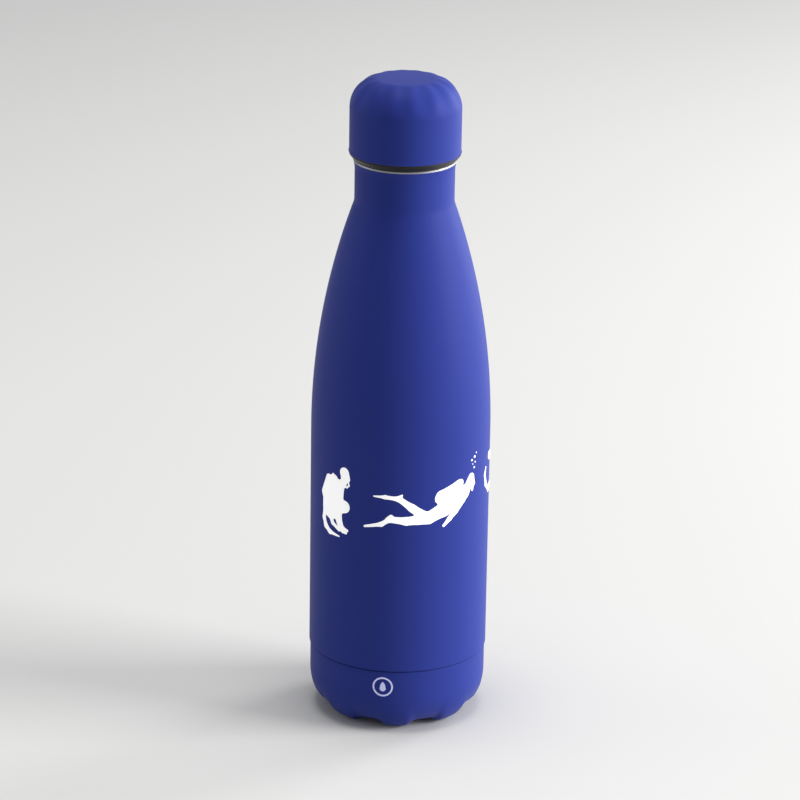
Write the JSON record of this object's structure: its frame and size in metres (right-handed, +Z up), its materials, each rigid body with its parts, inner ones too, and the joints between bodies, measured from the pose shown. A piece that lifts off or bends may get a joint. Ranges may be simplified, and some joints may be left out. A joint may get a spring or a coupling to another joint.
{
  "type": "insulated water bottle",
  "caption": "Double-walled steel vacuum bottle with a long tapered shoulder, petal-shaped foot and domed screw cap, printed with small white figures.",
  "frame": {"origin": "centre of the base, on the plane that the feet stand on", "axes": "+Z up along the bottle's axis towards the cap; -Y faces the viewer"},
  "size_m": [0.071, 0.071, 0.26],
  "materials": {
    "powder_coat": "soft matte royal blue powder coat, very fine texture",
    "bare_steel": "satin stainless steel",
    "copper": "thin bright copper foil",
    "solder_glass": "dark fired solder glass",
    "getter_metal": "grey pressed metal powder",
    "black_moulding": "black polypropylene, satin",
    "silicone": "translucent white silicone",
    "foam": "white insulating foam",
    "white_print": "flat white screen-printing ink"
  },
  "bodies": {
    "bottle": {"outer_shell": "powder_coat", "base_cup": "powder_coat", "vacuum_end": "bare_steel", "exhaust_seal": "solder_glass", "getter_holder": "bare_steel", "getter_pellet": "getter_metal", "inner_flask": "bare_steel", "inner_bottom": "bare_steel", "copper_foil": "copper"},
    "seal": {"seal_ring": "silicone"},
    "cap": {"cap_shell": "powder_coat", "cap_liner": "black_moulding", "foam_core": "foam", "liner_lid": "black_moulding"}
  },
  "joints": [
    {"name": "cap_rise", "type": "slide", "parent": "bottle", "child": "seal", "axis": [0, 0, 1], "range_m": [0, 0.026]},
    {"name": "cap_turn", "type": "hinge", "parent": "seal", "child": "cap", "pos_m": [0, 0, 0.2307], "axis": [0, 0, 1], "range_deg": [0, 1170]}
  ],
  "couplings": [
    {"joint": "cap_rise", "follows": "cap_turn", "m_per_rad": 0.0012732}
  ]
}
